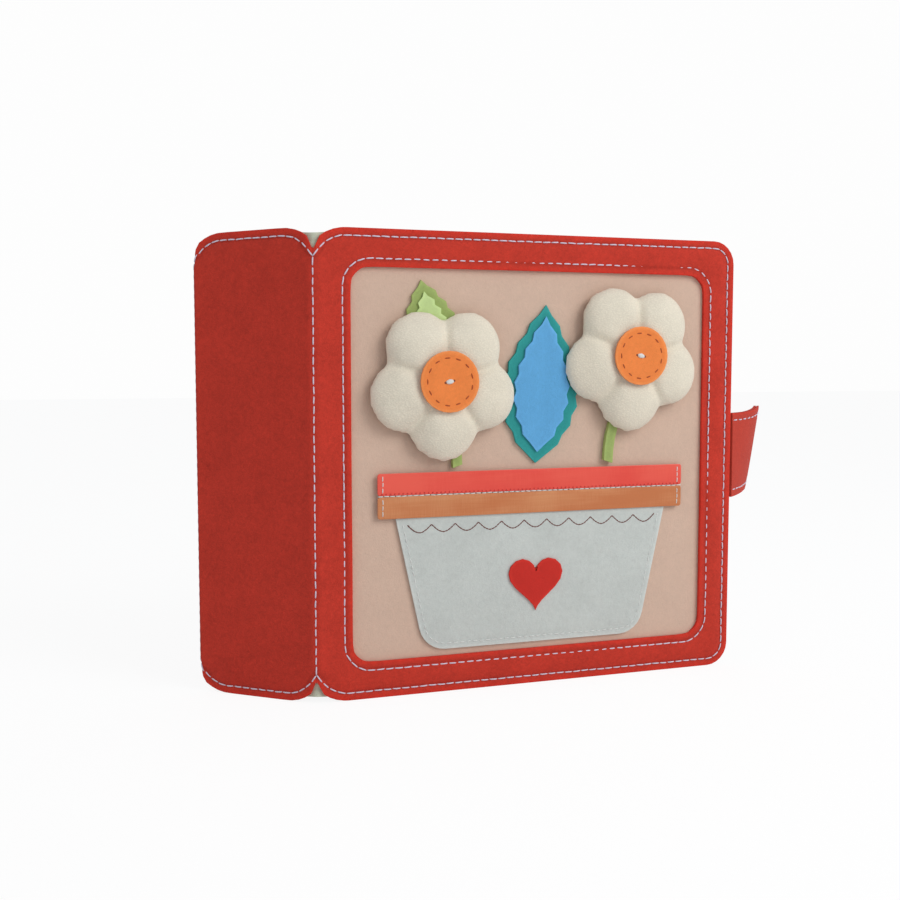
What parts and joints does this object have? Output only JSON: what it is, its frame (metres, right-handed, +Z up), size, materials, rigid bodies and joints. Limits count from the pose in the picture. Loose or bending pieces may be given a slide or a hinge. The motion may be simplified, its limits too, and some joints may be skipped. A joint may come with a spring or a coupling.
{
  "type": "quiet book",
  "caption": "Soft felt activity book with folding covers, padded pages, a closing strap and lift-up felt blossoms sewn on a windowed front.",
  "frame": {"origin": "middle of the spine panel's lower edge, in the middle of its outer felt's thickness", "axes": "+Z up along the folds, +X along the front cover from its fold to its fore edge, -Y the way the front cover faces"},
  "size_m": [0.2903, 0.1068, 0.2],
  "materials": {
    "red_felt": "matte wool-like felt",
    "peach_felt": "matte wool-like felt",
    "pale_green_felt": "matte wool-like felt",
    "white_felt": "matte wool-like felt",
    "cream_terry": "looped terry",
    "orange_felt": "matte wool-like felt",
    "blue_felt": "matte wool-like felt",
    "teal_felt": "matte wool-like felt",
    "lime_felt": "matte wool-like felt",
    "olive_felt": "matte wool-like felt",
    "coral_satin": "satin ribbon with a soft sheen",
    "tan_satin": "satin ribbon with a soft sheen",
    "grey_board": "pressed grey board",
    "white_wadding": "polyester wadding",
    "red_hook_tape": "hook side of a touch fastener",
    "red_loop_tape": "loop side of a touch fastener"
  },
  "bodies": {
    "spine": {"spine_outer_felt": "red_felt", "spine_board": "grey_board", "spine_lining": "pale_green_felt"},
    "front_cover": {"front_outer_felt": "red_felt", "window_felt": "peach_felt", "front_board": "grey_board", "front_lining": "pale_green_felt", "pot_felt": "white_felt", "pot_heart": "red_felt", "ribbon_coral": "coral_satin", "ribbon_tan": "tan_satin", "leaf_teal": "teal_felt", "leaf_blue": "blue_felt", "leaf_olive": "olive_felt", "leaf_lime": "lime_felt", "stem_left": "olive_felt", "stem_right": "olive_felt"},
    "blossom_left": {"blossom_left_backing": "cream_terry", "blossom_left_wadding": "white_wadding", "blossom_left_terry": "cream_terry", "blossom_left_disc": "orange_felt"},
    "blossom_right": {"blossom_right_backing": "cream_terry", "blossom_right_wadding": "white_wadding", "blossom_right_terry": "cream_terry", "blossom_right_disc": "orange_felt"},
    "strap_band": {"strap_band_outer_felt": "red_felt", "strap_band_lining_felt": "red_felt"},
    "strap_end": {"strap_end_outer_felt": "red_felt", "strap_end_lining_felt": "red_felt", "strap_hook_patch": "red_hook_tape"},
    "back_cover": {"back_outer_felt": "red_felt", "back_board": "grey_board", "back_lining": "pale_green_felt", "back_loop_patch": "red_loop_tape"},
    "page_1": {"page_1_front_felt": "pale_green_felt", "page_1_wadding": "white_wadding", "page_1_back_felt": "pale_green_felt", "page_1_circle": "orange_felt", "page_1_square": "blue_felt"},
    "page_2": {"page_2_front_felt": "pale_green_felt", "page_2_wadding": "white_wadding", "page_2_back_felt": "pale_green_felt", "page_2_triangle": "lime_felt", "page_2_star": "red_felt"},
    "page_3": {"page_3_front_felt": "pale_green_felt", "page_3_wadding": "white_wadding", "page_3_back_felt": "pale_green_felt", "page_3_heart": "red_felt", "page_3_crescent": "blue_felt"},
    "page_4": {"page_4_front_felt": "pale_green_felt", "page_4_wadding": "white_wadding", "page_4_back_felt": "pale_green_felt", "page_4_hexagon": "teal_felt", "page_4_oval": "orange_felt"}
  },
  "joints": [
    {"name": "front_cover_fold", "type": "hinge", "parent": "spine", "child": "front_cover", "pos_m": [0.02173, -0.01921, 0.1], "axis": [0, 0, -1], "range_deg": [0, 176]},
    {"name": "back_cover_fold", "type": "hinge", "parent": "spine", "child": "back_cover", "pos_m": [-0.0227, 0.01807, 0.1], "axis": [0, 0, 1], "range_deg": [0, 140]},
    {"name": "strap_band_bend", "type": "hinge", "parent": "front_cover", "child": "strap_band", "pos_m": [0.22343, -0.01516, 0.1], "axis": [0, 0, -1], "range_deg": [-83, 120]},
    {"name": "strap_end_bend", "type": "hinge", "parent": "strap_band", "child": "strap_end", "pos_m": [0.25601, 0.03112, 0.1], "axis": [0, 0, -1], "range_deg": [-20.2, 45]},
    {"name": "blossom_left_lift", "type": "hinge", "parent": "front_cover", "child": "blossom_left", "pos_m": [0.07773, -0.02031, 0.102], "axis": [-1, 0, 0], "range_deg": [-110, 0]},
    {"name": "blossom_right_lift", "type": "hinge", "parent": "front_cover", "child": "blossom_right", "pos_m": [0.16773, -0.02031, 0.113], "axis": [-1, 0, 0], "range_deg": [-110, 0]},
    {"name": "page_1_turn", "type": "hinge", "parent": "spine", "child": "page_1", "pos_m": [0.02094, -0.00942, 0.1], "axis": [0, 0, -1], "range_deg": [0, 34]},
    {"name": "page_2_turn", "type": "hinge", "parent": "spine", "child": "page_2", "pos_m": [0.01332, -0.00302, 0.1], "axis": [0, 0, -1], "range_deg": [0, 16]},
    {"name": "page_3_turn", "type": "hinge", "parent": "spine", "child": "page_3", "pos_m": [0.0057, 0.00337, 0.1], "axis": [0, 0, 1], "range_deg": [0, 80]},
    {"name": "page_4_turn", "type": "hinge", "parent": "spine", "child": "page_4", "pos_m": [-0.00192, 0.00977, 0.1], "axis": [0, 0, 1], "range_deg": [0, 105]}
  ],
  "couplings": [
    {"joint": "page_1_turn", "follows": "front_cover_fold", "ratio": 0.1931},
    {"joint": "page_2_turn", "follows": "front_cover_fold", "ratio": 0.0909},
    {"joint": "page_3_turn", "follows": "back_cover_fold", "ratio": 0.5714},
    {"joint": "page_4_turn", "follows": "back_cover_fold", "ratio": 0.75}
  ]
}
